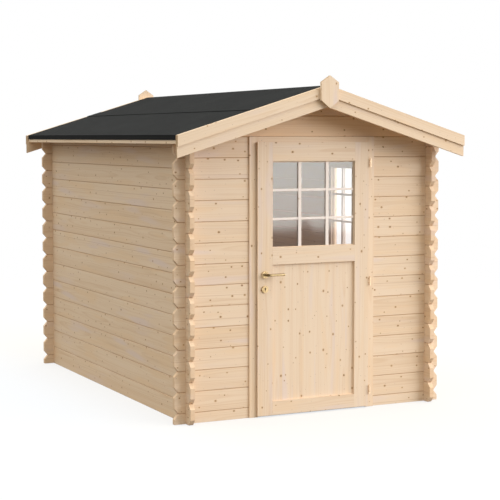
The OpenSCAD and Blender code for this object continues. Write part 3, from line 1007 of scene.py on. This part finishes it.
@dataclass
class Glazing:
    """The bars and beads of a light of small panes.

    The place's columns are the directions across, up and outwards, and the middle of the pane's outer
    face. The seeds are those of the bars and of the beads.
    """

    name: str
    body: Body
    slot: str
    seeds: tuple[int, int]
    grain: Grain
    timber: Timber
    place: Matrix
    width: float
    height: float
    columns: int = 3
    rows: int = 3
    barred_inside: bool = False
    knots: float = 0.03
    glass_t: float = 0.004
    upright_w: float = 0.0215
    level_w: float = 0.0145
    level_back: float = 0.001
    bar_t: float = 0.0055
    bead_w: float = 0.0060
    bead_t: float = 0.0065
    bead_round: float = 0.55
    bead_steps: int = 3
    edge: float = 0.0016
    gap: float = 0.0002

    def build(self) -> None:
        """Builds the bars and the beads on the faces that have them."""
        bars, beads = (
            WoodFinish(
                f"spruce_{self.name}_{kind}", self.grain, timber, seed, tuple(self.place.translation),
                knots=self.knots,
            ).material()
            for kind, timber, seed in zip(("bars", "beads"), (BAR_TIMBER, self.timber), self.seeds)
        )
        for side, face in ((1.0, "outside"), (-1.0, "inside")):
            if side > 0.0 or self.barred_inside:
                add_piece(f"{self.name}_bars_{face}", self._bars(side), bars, self.body)
            add_piece(f"{self.name}_beads_{face}", self._beads(side), beads, self.body)

    def _bars(self, side: float) -> bmesh.types.BMesh:
        """Builds upright bars and the level pieces between them.

        Args:
            side: 1 for the outside, -1 for the inside.

        Returns:
            The bars.
        """
        mesh = bmesh.new()
        half_w, half_h = self.width / 2 - self.bead_w, self.height / 2 - self.bead_w
        uprights = [self.width * (k / self.columns - 0.5) for k in range(1, self.columns)]
        for centre in uprights:
            low = Vector((centre - self.upright_w / 2, -half_h + self.gap, 0.0))
            high = Vector((centre + self.upright_w / 2, half_h - self.gap, self.bar_t))
            self._bar(mesh, low, high)
        stops = [-half_w, *(c + s * self.upright_w / 2 for c in uprights for s in (-1, 1)), half_w]
        for level in (self.height * (k / self.rows - 0.5) for k in range(1, self.rows)):
            for start, stop in zip(stops[0::2], stops[1::2]):
                low = Vector((start + self.gap, level - self.level_w / 2, 0.0))
                high = Vector((stop - self.gap, level + self.level_w / 2, self.bar_t - self.level_back))
                self._bar(mesh, low, high)
        return self._faced(mesh, side)

    def _faced(self, mesh: bmesh.types.BMesh, side: float) -> bmesh.types.BMesh:
        """Puts a mesh that stands on the level of zero onto a face of the pane.

        Args:
            mesh: The mesh.
            side: 1 for the outside, -1 for the inside.

        Returns:
            The same mesh.
        """
        lift = self.gap if side > 0.0 else self.glass_t + self.gap
        turn = Matrix.Translation((0, 0, side * lift)) @ Matrix.Diagonal((1.0, 1.0, side, 1.0))
        bmesh.ops.transform(mesh, matrix=self.place @ turn, verts=mesh.verts[:])
        return mesh

    def _bar(self, mesh: bmesh.types.BMesh, low: Vector, high: Vector) -> None:
        """Adds one bar with its two long front edges rounded.

        Args:
            mesh: The mesh that it joins.
            low: The lowest corner.
            high: The highest corner.
        """
        corners = add_block(mesh, low, high)
        long = 1 if high.y - low.y > high.x - low.x else 0
        edges = {
            edge
            for corner in corners
            for edge in corner.link_edges
            if all(v.co.z > (low.z + high.z) / 2 for v in edge.verts)
            and abs(edge.verts[0].co[long] - edge.verts[1].co[long]) > self.upright_w
        }
        round_edges(mesh, list(edges), self.edge)

    def _beads(self, side: float) -> bmesh.types.BMesh:
        """Builds a mitred bead round the pane.

        Args:
            side: 1 for the outside, -1 for the inside.

        Returns:
            The bead.
        """
        mesh = bmesh.new()
        bmesh.ops.create_grid(mesh, x_segments=1, y_segments=1, size=0.5)
        grow = (self.width - 2 * self.gap, self.height - 2 * self.gap, 1.0)
        bmesh.ops.scale(mesh, vec=grow, verts=mesh.verts[:])
        pane = mesh.faces[:]
        bmesh.ops.inset_region(
            mesh, faces=pane, thickness=self.bead_w, use_even_offset=True, use_boundary=True
        )
        bmesh.ops.delete(mesh, geom=pane, context="FACES")
        raised = bmesh.ops.extrude_face_region(mesh, geom=mesh.faces[:], use_keep_orig=True)["geom"]
        top = [v for v in raised if isinstance(v, bmesh.types.BMVert)]
        bmesh.ops.translate(mesh, vec=(0.0, 0.0, self.bead_t), verts=top)
        inner = self.width / 2 - self.bead_w / 2
        edges = [
            e
            for e in mesh.edges
            if all(v.co.z > self.bead_t / 2 and abs(v.co.x) < inner for v in e.verts)
        ]
        round_edges(mesh, edges, self.bead_t * self.bead_round, self.bead_steps)
        return self._faced(mesh, side)


@dataclass
class Openings:
    """The casings of the doorway and of the side window, with the window's pane and bars."""

    window_y: float = -0.325
    window_z: float = 1.16835
    window_w: float = 0.5434
    window_h: float = 0.5587
    pane_x: float = 0.818
    seed: int = 60
    window_seeds: tuple[int, int] = (70, 72)

    def dress(self) -> None:
        """Gives the casings their wood and the pane its glass."""
        pieces = {
            "door_jamb_left": Grain.UPRIGHT_FRONT,
            "door_jamb_right": Grain.UPRIGHT_FRONT,
            "door_head": Grain.LEVEL_FRONT,
            "window_jambs": Grain.UPRIGHT_SIDE,
            "window_rails": Grain.LEVEL_SIDE,
        }
        for seed, (node, grain) in enumerate(pieces.items(), self.seed):
            paint(node, WoodFinish(f"spruce_{node}", grain, TRIM_TIMBER, seed, middle(node)).material())
        paint("window_glass", GLASS)

    def build(self) -> None:
        """Builds the side window's bars and beads."""
        place = Matrix.Translation((self.pane_x, self.window_y, self.window_z)) @ SIDE_AXES
        Glazing(
            "window", Body.SHED, "trim_wood", self.window_seeds, Grain.UPRIGHT_SIDE, TRIM_TIMBER, place,
            self.window_w, self.window_h, columns=4, barred_inside=True, upright_w=0.018, bar_t=0.011,
        ).build()


@dataclass
class DoorLeaf:
    """The door's frame, panel, pane and glazing bars."""

    light_w: float = 0.5594
    light_low: float = 1.0032
    light_high: float = 1.5152
    light_play: float = 0.0004
    pane_y: float = -1.240
    lamella: float = 0.072
    figure: float = 1.4
    frame_knots: float = 0.72
    panel_knots: float = 0.8
    panel_cell: Pair = (0.12, 0.072)
    seed: int = 80
    panel_seed: int = 90
    light_seeds: tuple[int, int] = (91, 93)

    def dress(self) -> None:
        """Gives the frame, the panel and the pane their finishes."""
        pieces = {
            "door_lock_stile": Grain.UPRIGHT_FRONT,
            "door_hinge_stile": Grain.UPRIGHT_FRONT,
            "door_top_rail": Grain.LEVEL_FRONT,
            "door_middle_rail": Grain.LEVEL_FRONT,
            "door_bottom_rail": Grain.LEVEL_FRONT,
        }
        for seed, (node, grain) in enumerate(pieces.items(), self.seed):
            finish = WoodFinish(
                f"spruce_{node}", grain, DOOR_TIMBER, seed, middle(node),
                figure=self.figure, knots=self.frame_knots,
            )
            paint(node, finish.material())
        panel = WoodFinish(
            "spruce_door_panel", Grain.UPRIGHT_FRONT, DOOR_TIMBER, self.panel_seed, middle("door_panel"),
            boards=Boards(self.lamella, -self.light_w / 2), figure=self.figure,
            knots=self.panel_knots, knot_cell=self.panel_cell,
        )
        paint("door_panel", panel.material())
        paint("door_glass", GLASS)

    def build(self) -> None:
        """Builds the bars and beads of the door's light."""
        height = self.light_high - self.light_low
        place = Matrix.Translation((0.0, self.pane_y, self.light_low + height / 2)) @ FRONT_AXES
        Glazing(
            "door", Body.DOOR, "door_wood", self.light_seeds, Grain.UPRIGHT_FRONT, DOOR_TIMBER, place,
            self.light_w, height - self.light_play,
        ).build()


@dataclass
class Furniture:
    """Hinges, levers, roses with their screws, and the plates of the lock."""

    lever_x: float = -0.332
    heights: Pair = (0.848, 0.762)
    faces: Pair = (-1.264, -1.208)
    screw_reach: float = 0.0145
    screw_r: float = 0.0030
    screw_t: float = 0.0012
    screw_top: float = 0.6
    screw_sides: int = 14
    recess_rim: float = 0.25
    recess_deep: float = 0.3
    plate_t: float = 0.0008
    plate_z: Pair = (0.715, 0.915)
    plate_round: float = 0.3
    plate_steps: int = 4
    lock_x: float = -0.3610
    lock_y: Pair = (-1.2395, -1.2205)
    strike_x: float = -0.3678
    strike_y: Pair = (-1.2370, -1.2070)
    # The keyhole's and the neck's reaches are those of painted shade on the brass.
    keyhole_up: float = 0.004
    keyhole_r: float = 0.008
    neck_r: float = 0.014
    # The lever's brass is painted darker than the roses' brass, a painted dark reflection of its
    # surroundings.
    dark_reflection_bright: Colour = (0.50, 0.38, 0.21)
    dark_reflection_dull: Colour = (0.30, 0.21, 0.10)

    def dress(self) -> None:
        """Gives the hinges and handles their brass."""
        for node in ("hinge_jamb_halves", "hinge_leaf_halves"):
            paint(node, HINGE_BRASS)
        paint("lever_roses", BRASS)
        # The keyhole rose's spot is painted shade in the keyhole.
        keyhole = (self.lever_x, self.heights[1] + self.keyhole_up, self.keyhole_r)
        paint("keyhole_roses", BrassFinish("keyhole_brass", spot=keyhole).material())
        # The lever gets the darker brass, a painted dark reflection, and a spot of painted shade round
        # its neck.
        neck = (self.lever_x, self.heights[0], self.neck_r)
        lever = BrassFinish("lever_brass_painted_dark_reflection", self.dark_reflection_bright, self.dark_reflection_dull, spot=neck).material()
        for node in ("lever_outside", "lever_inside"):
            paint(node, lever)

    def build(self) -> None:
        """Builds two screws on each rose, and the plates of the lock."""
        mesh = bmesh.new()
        for face, out in zip(self.faces, (-1.0, 1.0)):
            for height in self.heights:
                for side in (-1.0, 1.0):
                    place = Vector((self.lever_x, face, height + side * self.screw_reach))
                    self._screw(mesh, place, out)
        add_piece("rose_screws", mesh, BRASS, Body.DOOR)
        self._plate("lock_face_plate", Body.DOOR, self.lock_x, self.lock_y)
        self._plate("strike_plate", Body.SHED, self.strike_x, self.strike_y)

    def _plate(self, name: str, body: Body, low_x: float, span: Pair) -> None:
        """Builds a lock's plate with rounded ends on an upright edge.

        Args:
            name: The piece's name.
            body: The body that it rides on.
            low_x: Its left face.
            span: Its front and back edges.
        """
        mesh = bmesh.new()
        low = Vector((low_x, span[0], self.plate_z[0]))
        add_block(mesh, low, Vector((low_x + self.plate_t, span[1], self.plate_z[1])))
        corners = [e for e in mesh.edges if abs(e.verts[0].co.x - e.verts[1].co.x) > self.plate_t / 2]
        round_edges(mesh, corners, (span[1] - span[0]) * self.plate_round, self.plate_steps)
        add_piece(name, mesh, BRASS, body)

    def _screw(self, mesh: bmesh.types.BMesh, place: Vector, out: float) -> None:
        """Adds one screw head with a recess.

        Args:
            mesh: The mesh that it joins.
            place: The middle of its foot.
            out: The way along y that it stands out, -1 or 1.
        """
        seat = Matrix.Translation(place) @ Matrix.Rotation(math.radians(90.0) * -out, 4, "X")
        made = bmesh.ops.create_cone(
            mesh, cap_ends=True, segments=self.screw_sides,
            radius1=self.screw_r, radius2=self.screw_r * self.screw_top,
            depth=self.screw_t, matrix=seat @ Matrix.Translation((0, 0, self.screw_t / 2)),
        )["verts"]
        ends = {f for v in made for f in v.link_faces if len(f.verts) > 4}
        outer = max(ends, key=lambda f: f.calc_center_median().y * out)
        bmesh.ops.inset_region(
            mesh, faces=[outer],
            thickness=self.screw_r * self.recess_rim, depth=-self.screw_t * self.recess_deep,
        )


@dataclass
class Studio:
    """The camera, the world's soft light and the lamp."""

    horizon: float = 0.10
    zenith: float = 1.72
    soft_tone: Colour = (1.0, 0.985, 0.915)
    fill: float = 0.32
    fill_way: Triple = (-0.75, 0.50, 0.43)
    key_power: float = 2430.0
    key_place: Triple = (13.33, -11.61, 5.35)
    key_aim: Triple = (0.0, -1.0, 1.1)
    key_size: Pair = (16.0, 8.0)
    key_tone: Colour = (0.985, 1.0, 1.055)
    camera_place: Triple = (-3.9914, -8.5262, 1.6577)
    camera_yaw: float = 26.106
    camera_down: float = 3.627
    camera_reach: float = 200.0
    lens: float = 99.93
    shift_y: float = -0.05

    def build(self) -> None:
        """Builds the camera, the world and the lamp."""
        self._camera()
        self._world()
        self._key()

    def _camera(self) -> None:
        """Puts the camera at the photograph's viewing angle."""
        data = bpy.data.cameras.new("camera")
        data.lens = self.lens
        data.shift_y = self.shift_y
        data.clip_end = self.camera_reach
        camera = bpy.data.objects.new("camera", data)
        camera.location = self.camera_place
        turn = (math.radians(90.0 - self.camera_down), 0.0, math.radians(-self.camera_yaw))
        camera.rotation_euler = turn
        bpy.context.scene.collection.objects.link(camera)
        bpy.context.scene.camera = camera

    def _world(self) -> None:
        """Makes soft light that grows towards the top, and white where it is seen."""
        world = bpy.data.worlds.new("studio")
        world.use_nodes = True
        tree = ShaderTree(world.node_tree)
        way = tree.coordinate("Generated")
        height = tree.split(way)[2].largest(0.0)
        side = tree.vector_math("DOT_PRODUCT", way, self.fill_way, output="Value")
        level = height * self.zenith + side.largest(0.0) ** 2.0 * self.fill + self.horizon
        soft = tree.node("ShaderNodeBackground", {}, {"Color": (*self.soft_tone, 1.0), "Strength": level})
        white = tree.node("ShaderNodeBackground", {}, {"Color": (1, 1, 1, 1), "Strength": 1.0})
        both = tree.node("ShaderNodeMixShader", {}, {0: tree.seen(), 1: soft, 2: white})
        tree.end(both, "ShaderNodeOutputWorld")
        bpy.context.scene.world = world

    def _key(self) -> None:
        """Hangs a large soft lamp in front at the right."""
        data = bpy.data.lights.new("key", "AREA")
        data.shape = "RECTANGLE"
        data.size, data.size_y = self.key_size
        data.energy = self.key_power
        data.color = self.key_tone
        key = bpy.data.objects.new("key", data)
        key.location = self.key_place
        aim = Vector(self.key_aim) - Vector(self.key_place)
        key.rotation_euler = aim.to_track_quat("-Z", "Y").to_euler()
        key.visible_camera = False
        bpy.context.scene.collection.objects.link(key)


@dataclass
class Floor:
    """A pale round floor that fades out at its rim, dull inside the walls and on the shaded side.

    The glow holds its level in the light, and what the shaded side adds to it.
    """

    radius: float = 9.0
    sides: int = 96
    level: float = -0.0015
    fade_span: Pair = (3.2, 8.0)
    shade_span: Pair = (-0.6, -1.5)
    plan: Pair = (0.82, 1.22)
    tone: Colour = (0.30, 0.265, 0.22)
    shaded_tone: Colour = (0.10, 0.08, 0.06)
    inner_tone: Colour = (0.34, 0.29, 0.24)
    glow_tone: Colour = (0.92, 0.96, 1.0)
    glow: Pair = (0.71, 0.24)

    def build(self) -> None:
        """Builds the floor."""
        mesh = bmesh.new()
        bmesh.ops.create_circle(mesh, cap_ends=True, segments=self.sides, radius=self.radius)
        bmesh.ops.translate(mesh, vec=(0.0, 0.0, self.level), verts=mesh.verts[:])
        floor = link_mesh("floor", mesh, self._material())

    def _material(self) -> bpy.types.Material:
        """Builds the floor's finish.

        Returns:
            The finish.
        """
        material, tree = new_material("pale_floor")
        place = tree.coordinate()
        out = tree.vector_math("LENGTH", place, output="Value")
        across, along, _ = tree.split(place)
        inside = (abs(across) < self.plan[0]) * (abs(along) < self.plan[1])
        shaded = across.smooth(*self.shade_span)
        tone = tree.mix(inside, tree.mix(shaded, self.tone, self.shaded_tone), self.inner_tone)
        plain, added = self.glow
        level = tree.seen() * (shaded * added + plain) * (1 - inside)
        matt = tree.node("ShaderNodeBsdfDiffuse", {}, {"Color": tone})
        glow = tree.node("ShaderNodeEmission", {}, {"Color": (*self.glow_tone, 1.0), "Strength": level})
        both = tree.node("ShaderNodeAddShader", {}, {0: matt, 1: glow})
        clear = tree.node("ShaderNodeBsdfTransparent")
        faded = out.smooth(*self.fade_span)
        tree.end(tree.node("ShaderNodeMixShader", {}, {0: faded, 1: both, 2: clear}))
        return material


@dataclass
class HazeCard:
    """An upright card that only glass and metal show: bright haze over dark ground with a hump."""

    place: Triple = (4.8, -10.0, 1.2)
    half: float = 1.0
    ground: Colour = (1.92, 1.26, 0.96)
    ground_z: float = 0.37
    ground_span: Pair = (-0.09, 0.09)
    hump_x: float = 4.68
    hump_h: float = 0.11
    hump_span: Pair = (0.16, 0.02)
    rough_h: float = 0.12
    rough_scale: float = 3.2
    low_sky: Colour = (5.70, 5.00, 4.65)
    high_sky: Colour = (6.00, 5.60, 5.30)
    sky_span: Pair = (0.5, 1.3)

    def build(self) -> None:
        """Builds the card."""
        mesh = bmesh.new()
        bmesh.ops.create_grid(mesh, x_segments=1, y_segments=1, size=self.half)
        place = Matrix.Translation(self.place) @ Matrix.Rotation(math.radians(90.0), 4, "X")
        bmesh.ops.transform(mesh, matrix=place, verts=mesh.verts[:])
        card = link_mesh("mirrored_card", mesh, self._material())

    def _material(self) -> bpy.types.Material:
        """Builds the card's finish.

        Returns:
            The finish.
        """
        material, tree = new_material("mirrored_haze")
        place = tree.coordinate()
        across, _, height = tree.split(place)
        rough = tree.noise(place, self.rough_scale, detail=3.0)
        hump = abs(across - self.hump_x).smooth(*self.hump_span) * self.hump_h
        edge = hump + rough * self.rough_h + self.ground_z
        sky = tree.mix(height.smooth(*self.sky_span), self.low_sky, self.high_sky)
        haze = tree.mix((height - edge).smooth(*self.ground_span), self.ground, sky)
        shown = tree.node("ShaderNodeLightPath", {}, {}, "Is Glossy Ray")
        glow = tree.node("ShaderNodeEmission", {}, {"Color": haze, "Strength": 1.0})
        clear = tree.node("ShaderNodeBsdfTransparent")
        tree.end(tree.node("ShaderNodeMixShader", {}, {0: shown, 1: clear, 2: glow}))
        return material


def main() -> None:
    """Builds the studio and the shed's pieces in order."""
    logging.basicConfig(level=logging.INFO, format="%(message)s")
    bpy.context.scene.view_settings.view_transform = "Standard"
    Studio().build()
    Floor().build()
    HazeCard().build()
    LogWalls().dress()
    roof = Roof()
    roof.dress()
    roof.build()
    GableTrim().dress()
    openings = Openings()
    openings.dress()
    openings.build()
    door = DoorLeaf()
    door.dress()
    door.build()
    furniture = Furniture()
    furniture.dress()
    furniture.build()


if __name__ == "__main__":
    main()
